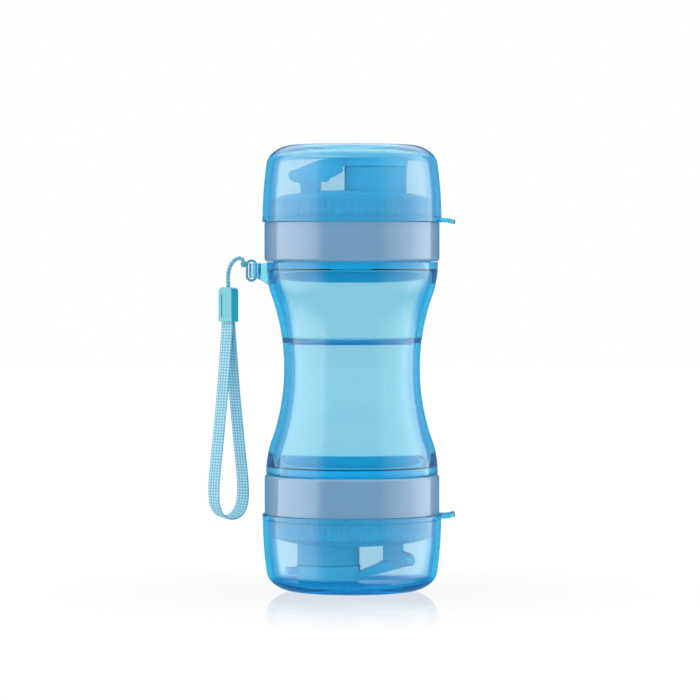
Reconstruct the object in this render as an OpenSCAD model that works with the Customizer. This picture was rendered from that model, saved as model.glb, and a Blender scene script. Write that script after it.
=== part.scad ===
// Dog travel bottle with two chambers: water at one end, dry food at the other.
// Each end has a screw lid with a flip spout, and a clear bowl pressed over the lid.
// Millimetres, +Z up, origin at the centre of the foot of the lower bowl.

/* [Body] */
// Distance between the two end planes of the body, where the lids begin
body_h = 106; // [98:1:130]
// Outer radius of the body at its waist, the hand grip
waist_r = 34; // [32:0.5:37]
// Radius of the hollow curve of the waist, seen from the side
waist_curve_r = 108; // [95:1:125]
// Height of the straight band at each end of the body
end_band = 1; // [0.5:0.25:2.5]
// Wall of the two chambers
body_wall = 2.6; // [2:0.1:3.2]
// Height above the waist of the weld between the two chambers
joint_rise = 12.8; // [6:0.2:20]
// Thickness of the floor between the two chambers
divider_t = 1.4; // [1.2:0.1:4]
// Depth to which that floor sits in the lower chamber and centres it
spigot_h = 0.6; // [0.4:0.1:1]
// Depth of the thick ring inside each end of the body
ring_h = 4; // [3:0.1:6]
// Depth of the tapered wall that carries that ring
ring_taper = 6; // [4:0.1:8]
// Step from the ring's bore out to the tapered wall
ring_step = 2.2; // [1:0.1:2.6]

/* [Neck and thread] */
// Inner radius of both necks
bore_r = 36.5; // [35:0.25:38]
// Wall of the necks
neck_wall = 2.9; // [2.4:0.1:3.4]
// Rise of the thread in one turn
thread_lead = 5; // [4.4:0.1:5.6]
// Number of turns of each thread
thread_turns = 1.25; // [1:0.05:1.5]
// Depth of the thread ribs
thread_depth = 1.2; // [0.9:0.05:1.4]
// Width of a thread rib at its root
thread_root = 2.6; // [2.2:0.1:2.8]
// Width of a thread rib at its crest
thread_crest = 1; // [0.7:0.05:1.3]
// Plain neck between the thread and the rim
neck_lip = 4.45; // [3:0.05:6]

/* [Lids] */
// Wall of the lid skirt
skirt_wall = 2.7; // [2.3:0.1:3.2]
// How far the lid skirt stands proud of the body
end_step = 0.8; // [0.4:0.1:1.4]
// Rounding of the lower edge of the skirt
skirt_round = 1.6; // [0.8:0.1:2.2]
// Thickness of the silicone ring that seals a lid on its neck
gasket_t = 2; // [1.5:0.1:3]
// Thickness of the shoulder that the bowl stands on
shoulder_t = 1.5; // [1:0.1:2.5]
// Step from the skirt in to the seat that the bowl grips
seat_step = 1.8; // [1.4:0.1:2.4]
// Depth to which a lid's sealing sleeve reaches down inside the body's ring
seal_drop = 4; // [3:0.1:5]
// Wall of that sleeve
seal_t = 1.4; // [1.1:0.1:2]
// Height of the seat
seat_h = 2.5; // [1.5:0.1:3.5]
// Step from the seat in to the ribbed band
knurl_step = 1.25; // [0.9:0.05:1.8]
// Height of the ribbed band
knurl_h = 7.5; // [5:0.25:9]
// Number of ribs on the band
knurl_count = 84; // [48:2:96]
// Depth of those ribs
rib_depth = 0.7; // [0.4:0.05:0.9]
// Rise of the lid's dome above the ribbed band
dome_h = 6; // [4:0.25:7]
// Thickness of the dome
dome_t = 2.6; // [2.2:0.1:3]

/* [Spouts] */
// Distance of the spout from the lid's axis
spout_x = 11.8; // [10:0.1:13]
// Outer radius of the spout
spout_r = 15.6; // [14.5:0.1:16.5]
// Wall of the spout
spout_wall = 2.6; // [2:0.1:3.2]

/* [Flip caps] */
// How far the flip cap stands proud of the spout
cap_proud = 0.4; // [0.1:0.1:1]
// Height of the upper flip cap
top_cap_h = 6.9; // [6.4:0.1:9.5]
// Height of the lower flip cap
bottom_cap_h = 9.1; // [8:0.1:9.8]
// Thickness of a flip cap's top plate
cap_plate = 2.2; // [1.6:0.1:2.8]
// Wall of a flip cap's rim
cap_wall = 1.8; // [1.4:0.1:2.4]
// Reach of the thumb tab past the cap
tab_reach = 5.6; // [4:0.1:6.5]
// Width of the thumb tab
tab_w = 11; // [8:0.5:14]
// Thickness of the thumb tab
tab_t = 3.2; // [2.4:0.1:3.8]
// Depth of the silicone plug below the cap
plug_depth = 5.7; // [4:0.1:6.5]
// Wall of the silicone plug
plug_wall = 1.8; // [1.4:0.1:2.6]
// Distance of the hinge pin from the lid's axis
hinge_x = 28.6; // [27.6:0.1:29.4]
// Depth of the hinge pin below the top of the flip cap
hinge_below = 11.6; // [10.8:0.1:12.2]
// Radius of the hinge pin
pin_r = 1.5; // [1.2:0.05:1.6]
// Radius of the arm's hinge barrel
barrel_r = 2.6; // [2.4:0.05:2.8]
// Width of the arm and its barrel
arm_w = 10; // [8:0.5:12]
// Thickness of the hinge ears
ear_t = 2.4; // [1.8:0.1:3]

/* [Bowls] */
// Height of a bowl
bowl_h = 38.5; // [36:0.5:44]
// Wall of a bowl
bowl_wall = 2.4; // [1.8:0.1:3]
// Thickness of a bowl's floor
bowl_floor = 3; // [2.2:0.1:4]
// How much a bowl narrows towards its corner
bowl_taper = 2; // [1:0.1:2.4]
// Reach of the corner between wall and floor, seen from above
corner_in = 12; // [9:0.5:13]
// Height of that corner
corner_h = 9; // [7:0.5:10]
// Width of the foot ring
foot_w = 4; // [2.5:0.25:6]
// Depth of the recess inside the foot ring
foot_recess = 0.6; // [0.3:0.1:1]
// Height of the band round a bowl's lip
lip_h = 2.7; // [2:0.1:4]
// How far that band stands proud
lip_proud = 0.2; // [0.1:0.1:0.5]
// Reach of a bowl's pull tab from the axis
pull_reach = 51.5; // [49.5:0.25:54]
// Width of the pull tab
pull_w = 20; // [14:0.5:26]
// Thickness of the pull tab
pull_t = 2; // [1.4:0.1:2.6]
// How far the tab's tip bends towards the body
pull_bend = 0.8; // [0:0.1:1.4]

/* [Strap] */
// Reach of the eyelet from the bottle's axis
lug_reach = 51.5; // [50.5:0.25:52.5]
// Height of the eyelet at its tip
lug_h = 7.4; // [6:0.1:9]
// Radius of the hole in the eyelet
lug_hole_r = 1.8; // [1.4:0.1:2]
// Thickness of the bar outside that hole
lug_bar = 2.3; // [1.8:0.1:3]
// Diameter of the thin loop through the eyelet
loop_d = 1.3; // [1:0.1:1.5]
// Radius of the knot
knot_r = 1.6; // [1.3:0.1:1.8]
// Diameter of the cord between knot and slider
cord_d = 2.1; // [1.6:0.1:2.4]
// Width of the slider
slider_w = 9; // [8.6:0.1:11]
// Thickness of the slider
slider_t = 5; // [4.4:0.1:6]
// Height of the slider
slider_h = 17.4; // [15:0.1:19]
// Depth of the panel sunk in the slider's face
panel_d = 0.4; // [0.2:0.1:0.6]
// Width of the woven ribbon
ribbon_w = 7.6; // [6:0.1:7.8]
// Thickness of the ribbon
ribbon_t = 0.9; // [0.7:0.05:1.1]

/* [Clearances] */
// Gap between a lid's skirt and the body
lid_gap = 0.3; // [0.2:0.05:0.6]
// Gap between the crest of a thread and the wall it faces
thread_gap = 0.5; // [0.4:0.05:0.7]
// Gap between a bowl's wall and its seat
bowl_fit = 0.3; // [0.2:0.05:0.5]
// Gap between the flip cap and the floor of the bowl over it
cap_clear = 0.9; // [0.6:0.1:1.5]
// Gap between pieces that rest on each other loosely
fit = 0.3; // [0.2:0.05:0.4]
// Radial gap between a pin and the bore that it turns in
run_fit = 0.08; // [0.05:0.01:0.1]
// Radial gap between a pin and the bore that holds it
pin_fit = 0.02; // [0.01:0.01:0.05]

/* [Hidden] */
$fn = 96;

// Radii that follow from the bore outwards
neck_r = bore_r + neck_wall;
skirt_in_r = neck_r + thread_depth + thread_gap;
skirt_r = skirt_in_r + skirt_wall;
end_r = skirt_r - end_step;
seat_r = skirt_r - seat_step;
knurl_r = seat_r - knurl_step;
bowl_r = seat_r + bowl_fit + bowl_wall;
lid_in_r = bore_r - fit;
seal_in_r = lid_in_r - seal_t;

// Heights above an end plane of the body, counted outwards
thread_start = lid_gap + thread_root / 2 + thread_lead / 2 + 0.4;
neck_h = thread_start + thread_turns * thread_lead + thread_root / 2 + neck_lip;
ceiling_z = neck_h + gasket_t;
skirt_h = ceiling_z + shoulder_t;
knurl_z = skirt_h + seat_h;
dome_z = knurl_z + knurl_h;
bowl_end_z = skirt_h + bowl_h;
floor_z = bowl_end_z - bowl_floor;
cap_top_z = floor_z - cap_clear;
hinge_z = cap_top_z - hinge_below;
top_spout_z = cap_top_z - top_cap_h - fit;
bottom_spout_z = cap_top_z - bottom_cap_h - fit;

// Spout, cap and hinge
spout_bore = spout_r - spout_wall;
cap_r = spout_r + cap_proud;
cap_in_r = cap_r - cap_wall;
plug_top_r = spout_bore - 0.2;
plug_tip_r = spout_bore - 1.4;
ear_in = arm_w / 2 + fit + 0.05;
ear_out = ear_in + ear_t;
ear_r = barrel_r + 0.2;

// Planes of the whole bottle
half_h = body_h / 2;
low_plane = bowl_end_z;
high_plane = low_plane + body_h;
waist_z = low_plane + half_h;

// The waist is a hollow arc that runs tangent into a full arc at each end
flare_h = half_h - end_band;
flare_r = end_r - waist_r;
arc_sum = (flare_r * flare_r + flare_h * flare_h) / (2 * flare_r);
end_curve_r = arc_sum - waist_curve_r;
arc_switch = waist_curve_r * flare_h / arc_sum;

// Outer radius of the body at a height z from its waist
function body_r(z) =
    let (a = min(abs(z), flare_h))
    a < arc_switch
        ? waist_r + waist_curve_r - sqrt(pow(waist_curve_r, 2) - a * a)
        : end_r - end_curve_r + sqrt(pow(end_curve_r, 2) - pow(flare_h - a, 2));

// Points of that profile between two heights, drawn in by an inset
function body_curve(from, to, inset, steps) =
    [for (i = [0:steps]) let (z = from + (to - from) * i / steps) [body_r(z) - inset, z]];

// Rim of a neck from its chamfer down to the rounded edge of the body's end
rim_chamfer = 0.6;
edge_chamfer = 0.4;
rim_z = half_h + neck_h;
neck_outside = [
    [neck_r - rim_chamfer, rim_z], [neck_r, rim_z - rim_chamfer],
    [neck_r, half_h], [end_r - edge_chamfer, half_h], [end_r, half_h - edge_chamfer]
];

// Inside of an end from the rim down the bore, under the thick ring and on to the tapered wall
taper_end_z = half_h - ring_h - ring_taper;
neck_inside = [
    [bore_r, rim_z], [bore_r, half_h - ring_h + ring_step / 4], [bore_r + ring_step, half_h - ring_h]
];

// One screw rib: a trapezoid carried round a helix, with both ends run out
// side is 1 on the outside of a neck and -1 inside a skirt
module thread_rib(root_r, side, start) {
    steps = round(thread_turns * 36);
    ramp = 4;
    sunk = 0.3;
    ring = [for (i = [0:steps])
        let (
            a = 360 * thread_turns * i / steps,
            z = start + thread_turns * thread_lead * i / steps,
            f = min(1, (0.4 + i) / ramp, (0.4 + steps - i) / ramp),
            deep = root_r - side * sunk,
            high = root_r + side * thread_depth * f,
            wide = thread_root / 2,
            slim = thread_root / 2 + (thread_crest - thread_root) / 2 * f
        )
        each [
            for (p = [[deep, -wide], [high, -slim], [high, slim], [deep, wide]])
                [p[0] * cos(a), p[0] * sin(a), z + p[1]]
        ]];
    walls = [for (i = [0:steps - 1], k = [0:3])
        let (a = 4 * i + k, b = 4 * i + (k + 1) % 4)
        each side > 0 ? [[a, b, b + 4], [a, b + 4, a + 4]] : [[a, b + 4, b], [a, a + 4, b + 4]]];
    last = 4 * steps;
    ends = side > 0
        ? [[3, 2, 1, 0], [last, last + 1, last + 2, last + 3]]
        : [[0, 1, 2, 3], [last + 3, last + 2, last + 1, last]];
    polyhedron(ring, concat(walls, ends), convexity = 6);
}

// Places what is drawn above an end plane of the body onto that end
module top_end() {
    translate([0, 0, high_plane]) children();
}

module bottom_end() {
    translate([0, 0, low_plane]) rotate([0, 180, 0]) children();
}

// Upper chamber: flared shell with its own floor, neck and the strap eyelet
module upper_chamber() {
    inner_floor = joint_rise + divider_t - spigot_h;
    corner = 2.5;
    corner_z = inner_floor + corner;
    corner_r = body_r(corner_z) - body_wall - corner;
    spigot_r = body_r(joint_rise) - body_wall - fit;
    color([0.55, 0.84, 0.93, 0.55]) {
        translate([0, 0, waist_z]) difference() {
            union() {
                rotate_extrude() polygon(concat(
                    [[0, joint_rise - spigot_h], [spigot_r, joint_rise - spigot_h], [spigot_r, joint_rise]],
                    body_curve(joint_rise, half_h - edge_chamfer, 0, 20),
                    [for (i = [4:-1:0]) neck_outside[i]],
                    neck_inside,
                    body_curve(taper_end_z, corner_z, body_wall, 16),
                    [for (a = [75:-15:0]) [corner_r + corner * sin(a), corner_z - corner * cos(a)]],
                    [[0, inner_floor]]
                ));
                strap_lug();
            }
            translate([lug_hole_r + lug_bar - lug_reach, 0, half_h - 20])
                cylinder(r = lug_hole_r, h = 30, $fn = 48);
        }
        top_end() thread_rib(neck_r, 1, thread_start);
    }
}

// Eyelet on the end ring: flat above, sloped below, rounded in plan
lug_drop = 0.5;
lug_half = lug_hole_r + 2.2;
module strap_lug() {
    root_x = end_r - body_wall + 0.4;
    top = half_h - lug_drop;
    intersection() {
        translate([0, lug_half, 0]) rotate([90, 0, 0]) linear_extrude(2 * lug_half) polygon([
            [-lug_reach, top], [-root_x, top], [-root_x, top - lug_h - 4],
            [-lug_reach + 3.8, top - lug_h], [-lug_reach, top - lug_h]
        ]);
        translate([0, 0, half_h - 20]) linear_extrude(20) {
            translate([lug_half - lug_reach, 0]) circle(r = lug_half, $fn = 64);
            translate([lug_half - lug_reach, -lug_half])
                square([lug_reach - lug_half - root_x, 2 * lug_half]);
        }
    }
}

// Lower chamber: flared tube, welded to the upper chamber's floor
module lower_chamber() {
    color([0.55, 0.84, 0.93, 0.55]) {
        translate([0, 0, waist_z]) rotate_extrude() polygon(concat(
            body_curve(joint_rise, edge_chamfer - half_h, 0, 28),
            [for (i = [4:-1:0]) [neck_outside[i][0], -neck_outside[i][1]]],
            [for (p = neck_inside) [p[0], -p[1]]],
            body_curve(-taper_end_z, joint_rise, body_wall, 24)
        ));
        bottom_end() thread_rib(neck_r, 1, thread_start);
    }
}

// Silicone ring between the rim of a neck and the ceiling of its lid
module lid_gasket() {
    color([0.93, 0.96, 0.98]) translate([0, 0, neck_h]) difference() {
        cylinder(r = skirt_in_r - fit, h = gasket_t);
        translate([0, 0, -1]) cylinder(r = lid_in_r + fit, h = gasket_t + 2);
    }
}

// Ellipse that makes the dome, from its rim to the axis
function dome_curve(radius, height, base, steps) =
    [for (i = [0:steps]) let (a = 90 * i / steps) [radius * cos(a), base + height * sin(a)]];

// Outer solid of a lid without its spout: skirt, seat, ribbed band and dome
module lid_shell() {
    rotate_extrude() polygon(concat(
        [[0, lid_gap], [skirt_r - skirt_round, lid_gap]],
        [for (a = [-75:15:0])
            [skirt_r - skirt_round + skirt_round * cos(a), lid_gap + skirt_round + skirt_round * sin(a)]],
        [[skirt_r, skirt_h - 0.3], [skirt_r - 0.3, skirt_h], [seat_r, skirt_h],
         [seat_r, knurl_z - 0.4], [seat_r - 0.4, knurl_z], [0, knurl_z]]
    ));
    intersection() {
        translate([0, 0, knurl_z - 1]) linear_extrude(knurl_h + dome_h + 2)
            polygon([for (i = [0:2 * knurl_count - 1])
                let (a = 180 * i / knurl_count, r = knurl_r - (i % 2) * rib_depth)
                [r * cos(a), r * sin(a)]]);
        rotate_extrude() polygon(concat(
            [[0, knurl_z - 1], [knurl_r + 0.1, knurl_z - 1]],
            dome_curve(knurl_r + 0.1, dome_h, dome_z, 10)
        ));
    }
}

// Post and two ears that hold the hinge pin
module hinge_post(post_drop) {
    post_z = hinge_z - post_drop;
    post_x = hinge_x - barrel_r - 0.4;
    foot = dome_z + 1;
    difference() {
        union() {
            translate([-post_x, -ear_out, foot]) cube([10, 2 * ear_out, post_z - foot]);
            for (y = [ear_out, -ear_in]) translate([0, y, 0]) rotate([90, 0, 0]) linear_extrude(ear_t) {
                translate([-hinge_x, hinge_z]) circle(r = ear_r, $fn = 48);
                polygon([
                    [-hinge_x - ear_r * cos(40), hinge_z - ear_r * sin(40)], [-post_x, hinge_z - ear_r - 1.2],
                    [-post_x, foot], [-post_x + 10, foot], [-post_x + 8, post_z],
                    [-hinge_x + ear_r * cos(55), hinge_z + ear_r * sin(55)]
                ]);
            }
        }
        translate([-hinge_x, 0, hinge_z]) rotate([90, 0, 0])
            cylinder(r = pin_r + pin_fit, h = 2 * ear_out + 2, center = true, $fn = 48);
    }
}

// Screw lid: ribbed grip, domed top, sealing sleeve, round spout off its axis and the hinge post
module screw_lid(spout_z, post_drop) {
    color([0.66, 0.78, 0.9]) {
        difference() {
            union() {
                lid_shell();
                translate([0, 0, -seal_drop]) cylinder(r = lid_in_r, h = seal_drop + ceiling_z + 1);
                translate([spout_x, 0, dome_z]) cylinder(r = spout_r, h = spout_z - dome_z);
                hinge_post(post_drop);
            }
            rotate_extrude() polygon([
                [lid_in_r, lid_gap - 1], [skirt_in_r, lid_gap - 1], [skirt_in_r, ceiling_z],
                [lid_in_r, ceiling_z]
            ]);
            rotate_extrude() polygon(concat(
                [[0, -seal_drop - 1], [seal_in_r, -seal_drop - 1], [seal_in_r, ceiling_z + 1],
                 [lid_in_r, ceiling_z + 3]],
                dome_curve(lid_in_r, dome_h, dome_z - dome_t, 10)
            ));
            translate([spout_x, 0, dome_z - dome_t - 1]) cylinder(r = spout_bore, h = 40);
        }
        thread_rib(skirt_in_r, -1, thread_start - thread_lead / 2);
    }
}

// Side outline of each flip arm, from the cap down to the barrel
arm_root = cap_r - spout_x + 0.1;
arm_in = cap_in_r - spout_x + 0.1;
barrel_top = [-hinge_x - barrel_r * cos(70), hinge_z + barrel_r * sin(70)];
top_arm = [
    [-arm_in, cap_top_z], [-arm_root - 2, cap_top_z], [-16, cap_top_z - 3.6], barrel_top,
    [-hinge_x, hinge_z - barrel_r], [-12.1, hinge_z - barrel_r - 0.2], [-11.2, hinge_z - 1.2],
    [-arm_root - 0.3, hinge_z + 2.2], [-arm_root - 0.2, top_spout_z + fit], [-arm_in, top_spout_z + fit]
];
bottom_arm = [
    [-arm_in, cap_top_z - 3], [-arm_root - 0.8, cap_top_z - 3.1], [-17.4, cap_top_z - 5.8], barrel_top,
    [-hinge_x, hinge_z], [-26, hinge_z + 0.1], [-18.5, hinge_z + 0.1], [-14.5, hinge_z + 0.9],
    [-12, hinge_z + 2.6], [-arm_root, hinge_z + 5.6], [-arm_in, hinge_z + 5.8]
];
arm_channel = [
    [-24.5, hinge_z - 6], [-24.5, hinge_z + 1.3], [-16, hinge_z + 5.9],
    [-arm_root - 2.7, hinge_z + 9.2], [-arm_root - 2.7, hinge_z - 6]
];

// A side outline given width across the arm
module across(width, outline) {
    translate([0, width / 2, 0]) rotate([90, 0, 0]) linear_extrude(width) polygon(outline);
}

// Flip cap: round cap with a thumb tab, on an arm that ends in the hinge barrel
module flip_cap(cap_h, tab_drop, arm, channel) {
    base = cap_top_z - cap_h;
    tab_z = cap_top_z - tab_drop - tab_t;
    tab_end = cap_r + tab_reach;
    color([0.51, 0.75, 0.87]) difference() {
        union() {
            translate([spout_x, 0, 0]) rotate_extrude() polygon([
                [0, cap_top_z], [cap_r - 0.8, cap_top_z], [cap_r, cap_top_z - 0.8],
                [cap_r, base], [cap_in_r, base], [cap_in_r, cap_top_z - cap_plate],
                [0, cap_top_z - cap_plate]
            ]);
            translate([spout_x, 0, tab_z]) linear_extrude(tab_t) difference() {
                union() {
                    translate([0, -tab_w / 2]) square([tab_end - 3, tab_w]);
                    translate([0, 3 - tab_w / 2]) square([tab_end, tab_w - 6]);
                    for (s = [-1, 1]) translate([tab_end - 3, s * (tab_w / 2 - 3)]) circle(r = 3, $fn = 32);
                }
                circle(r = cap_r - 0.5);
            }
            difference() {
                across(arm_w, arm);
                if (channel) across(arm_w - 3.2, arm_channel);
            }
            translate([-hinge_x, 0, hinge_z]) rotate([90, 0, 0])
                cylinder(r = barrel_r, h = arm_w, center = true, $fn = 48);
        }
        translate([-hinge_x, 0, hinge_z]) rotate([90, 0, 0])
            cylinder(r = pin_r + run_fit, h = arm_w + 2, center = true, $fn = 48);
    }
}

// Silicone plug under a flip cap: a flange in the cap and a tapered cup in the spout
module flip_plug(cap_h) {
    base = cap_top_z - cap_h;
    color([0.9, 0.96, 0.99]) translate([spout_x, 0, 0]) rotate_extrude() polygon([
        [0, cap_top_z - cap_plate], [cap_in_r - 0.2, cap_top_z - cap_plate], [cap_in_r - 0.2, base],
        [plug_top_r, base], [plug_tip_r, base - plug_depth], [plug_tip_r - plug_wall, base - plug_depth],
        [plug_tip_r - plug_wall, base], [0, base]
    ]);
}

// Moulded pin through both ears and the barrel of the arm
module flip_pin() {
    color([0.51, 0.75, 0.87]) translate([-hinge_x, 0, hinge_z]) rotate([90, 0, 0])
        cylinder(r = pin_r, h = 2 * ear_out, center = true, $fn = 48);
}

// Outer radius of a bowl at a height z above the end plane
wall_start = skirt_h + lip_h;
corner_start = bowl_end_z - corner_h;
function wall_curve(z) = bowl_r - bowl_taper * pow((z - wall_start) / (corner_start - wall_start), 2);
function corner_curve(z, reach, height) =
    z < corner_start ? 0 : reach * (1 - sqrt(1 - pow(min(1, (z - corner_start) / height), 2)));

// Clear bowl: pressed over the lid, and a dish when it stands on its foot
module bowl(yaw) {
    steps = 8;
    in_h = corner_h - bowl_floor;
    wall_z = [for (i = [0:steps]) wall_start + (corner_start - wall_start) * i / steps];
    outer_z = [for (i = [1:steps]) corner_start + corner_h * sin(90 * i / steps)];
    inner_z = [for (i = [1:steps]) corner_start + in_h * sin(90 * i / steps)];
    foot_r = wall_curve(bowl_end_z) - corner_in;
    outside = concat(
        [[bowl_r + lip_proud, skirt_h], [bowl_r + lip_proud, wall_start]],
        [for (z = wall_z) [wall_curve(z), z]],
        [for (z = outer_z) [wall_curve(z) - corner_curve(z, corner_in, corner_h), z]],
        [[foot_r - foot_w, bowl_end_z], [foot_r - foot_w - 0.6, bowl_end_z - foot_recess],
         [0, bowl_end_z - foot_recess]]
    );
    inside = concat(
        [[bowl_r - bowl_wall, skirt_h]],
        [for (z = wall_z) [wall_curve(z) - bowl_wall, z]],
        [for (z = inner_z)
            [wall_curve(z) - bowl_wall - corner_curve(z, corner_in - bowl_wall, in_h), z]],
        [[0, floor_z]]
    );
    color([0.45, 0.75, 0.9, 0.5]) rotate([0, 0, yaw]) {
        rotate_extrude() polygon(concat(outside, [for (i = [len(inside) - 1:-1:0]) inside[i]]));
        pull_tab();
    }
}

// Pull tab on a bowl's lip: rounded in plan, its tip bent towards the body
module pull_tab() {
    root = bowl_r - bowl_wall / 2;
    round_r = 4;
    intersection() {
        across(pull_w, [
            [root, skirt_h], [pull_reach - 3.5, skirt_h], [pull_reach - 1, skirt_h - pull_bend],
            [pull_reach, skirt_h - pull_bend], [pull_reach, skirt_h - pull_bend + pull_t - 0.4],
            [pull_reach - 3.5, skirt_h + pull_t], [root, skirt_h + pull_t]
        ]);
        translate([0, 0, skirt_h - 5]) linear_extrude(10) difference() {
            union() {
                translate([0, -pull_w / 2]) square([pull_reach - round_r, pull_w]);
                translate([0, round_r - pull_w / 2]) square([pull_reach, pull_w - 2 * round_r]);
                for (s = [-1, 1]) translate([pull_reach - round_r, s * (pull_w / 2 - round_r)])
                    circle(r = round_r, $fn = 48);
            }
            circle(r = root);
        }
    }
}

// Loop through the eyelet, knotted just outside it
// Its two arches rise far enough to clear the square edges of the bar
loop_fit = 0.45;
loop_r = lug_bar / 2 + loop_fit + loop_d / 2;
loop_x = lug_bar / 2 - lug_reach;
arch_clear = 0.1;
corner_rise = sqrt(pow(lug_bar / 2 + loop_fit - arch_clear, 2) - pow(lug_bar / 2, 2));
arch_rise = ceil(10 * (loop_r - corner_rise)) / 10;
loop_top = high_plane - lug_drop + arch_rise;
loop_low = high_plane - lug_drop - lug_h - arch_rise;
knot = [loop_x - loop_r - 1.6, 0, loop_top - 1.85];
module strap_hitch() {
    color([0.42, 0.72, 0.8]) {
        for (end = [[loop_top - loop_r, 0], [loop_low + loop_r, 180]])
            translate([loop_x, 0, end[0]]) rotate([90, 0, 0]) rotate([0, 0, end[1]])
                rotate_extrude(angle = 180) translate([loop_r, 0]) circle(d = loop_d, $fn = 32);
        for (s = [-1, 1]) translate([loop_x + s * loop_r, 0, loop_low + loop_r])
            cylinder(d = loop_d, h = loop_top - loop_low - 2 * loop_r, $fn = 32);
        translate(knot) sphere(r = knot_r, $fn = 48);
    }
}

// The loop of ribbon hangs in an upright plane turned from the front by this angle
strap_yaw = 42;
strap_x = -61.9;
slider_top = 152.1;
ribbon_in = 5.5;
cord_in = 6;

// Places a point of the hanging loop: u across the ribbon, v outwards in the loop's plane
module strap_frame() {
    translate([strap_x, 0, 0]) rotate([0, 0, -strap_yaw]) children();
}

// Route of the cord, from the knot over and down into the slider, as [x, z]
cord_route = [
    [-55.3, 166.1], [-56.4, 166.4], [-57.6, 166.2], [-58.9, 165.4], [-60.1, 164],
    [-61.1, 162.2], [-61.8, 160], [-62.1, 157.6], [-62.1, 155], [-61.95, 152.1], [-61.9, 146.2]
];

// Half of the ribbon's route, from inside the slider down to the foot of the loop
// First value: distance from the loop's middle, second: height
ribbon_half = [
    [0.6, 140], [0.6, 136], [0.8, 133], [1.3, 128], [2, 121], [2.9, 112], [3.9, 103], [5, 94],
    [6.2, 85], [7.4, 76], [8.7, 67], [9.8, 59], [10.5, 52], [10.4, 46.5], [9.2, 42], [6.9, 38.8], [3.7, 37]
];
ribbon_foot = [0, 36.5];
ribbon_route = concat(
    ribbon_half, [ribbon_foot],
    [for (i = [len(ribbon_half) - 1:-1:0]) [-ribbon_half[i][0], ribbon_half[i][1]]]
);

// Unit direction of a flat route at one of its points
function along(route, i) =
    let (d = route[min(i + 1, len(route) - 1)] - route[max(i - 1, 0)]) d / norm(d);

// Skin of a solid swept through equal rings
module swept(rings) {
    sides = len(rings[0]);
    count = len(rings);
    points = [for (ring = rings) each ring];
    walls = [for (i = [0:count - 2], k = [0:sides - 1])
        let (a = sides * i + k, b = sides * i + (k + 1) % sides)
        each [[a, b, b + sides], [a, b + sides, a + sides]]];
    ends = [
        [for (k = [sides - 1:-1:0]) k],
        [for (k = [0:sides - 1]) sides * (count - 1) + k]
    ];
    polyhedron(points, concat(walls, ends), convexity = 8);
}

module strap_cord() {
    color([0.4, 0.71, 0.8]) swept([for (i = [0:len(cord_route) - 1])
        let (p = cord_route[i], d = along(cord_route, i))
        [for (k = [0:7])
            let (a = -45 * k, out = cord_d / 2 * cos(a), side = cord_d / 2 * sin(a))
            [p[0] - d[1] * out, side, p[1] + d[0] * out]]]);
}

module strap_ribbon() {
    half_w = ribbon_w / 2;
    half_t = ribbon_t / 2;
    section = [
        [half_w, half_t / 2], [half_w - half_t, half_t], [half_t - half_w, half_t], [-half_w, half_t / 2],
        [-half_w, -half_t / 2], [half_t - half_w, -half_t], [half_w - half_t, -half_t], [half_w, -half_t / 2]
    ];
    color([0.63, 0.82, 0.88]) strap_frame() swept([for (i = [0:len(ribbon_route) - 1])
        let (p = ribbon_route[i], d = along(ribbon_route, i))
        [for (s = section) [s[0], -p[0] + d[1] * s[1], p[1] + d[0] * s[1]]]]);
}

// Slider: two moulded halves closed over the cord above and the ribbon below
module slider_body() {
    low = slider_top - slider_h;
    round_r = 2.6;
    intersection() {
        translate([0, slider_t, 0]) rotate([90, 0, 0]) linear_extrude(2 * slider_t) {
            translate([-slider_w / 2, low]) square([slider_w, slider_h - round_r]);
            translate([round_r - slider_w / 2, low]) square([slider_w - 2 * round_r, slider_h]);
            for (s = [-1, 1]) translate([s * (slider_w / 2 - round_r), slider_top - round_r])
                circle(r = round_r, $fn = 48);
        }
        translate([-slider_w, 0, 0]) rotate([90, 0, 90]) linear_extrude(2 * slider_w) {
            translate([-slider_t / 2, low]) square([slider_t, slider_h - 1.5]);
            translate([1.5 - slider_t / 2, low]) square([slider_t - 3, slider_h]);
            for (s = [-1, 1]) translate([s * (slider_t / 2 - 1.5), slider_top - 1.5])
                circle(r = 1.5, $fn = 48);
        }
    }
}

module slider_half(side) {
    low = slider_top - slider_h;
    pocket_w = ribbon_w + 2 * 0.2;
    pocket_t = 2 * (ribbon_half[0][0] + ribbon_t / 2 + 0.25);
    panel_h = slider_h - 6;
    color([0.45, 0.82, 0.88]) strap_frame() difference() {
        slider_body();
        translate([-slider_w, side > 0 ? -slider_t : 0, low - 1])
            cube([2 * slider_w, slider_t, slider_h + 2]);
        translate([-pocket_w / 2, -pocket_t / 2, low - 1]) cube([pocket_w, pocket_t, ribbon_in + 1 + fit]);
        translate([0, 0, slider_top - cord_in - fit]) cylinder(d = cord_d + 2 * fit, h = slider_h, $fn = 48);
        if (side < 0) translate([-slider_w / 2 + 1.8, -slider_t / 2 - 1, low + 2.5])
            cube([slider_w - 3.6, 1 + panel_d, panel_h]);
    }
}

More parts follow.
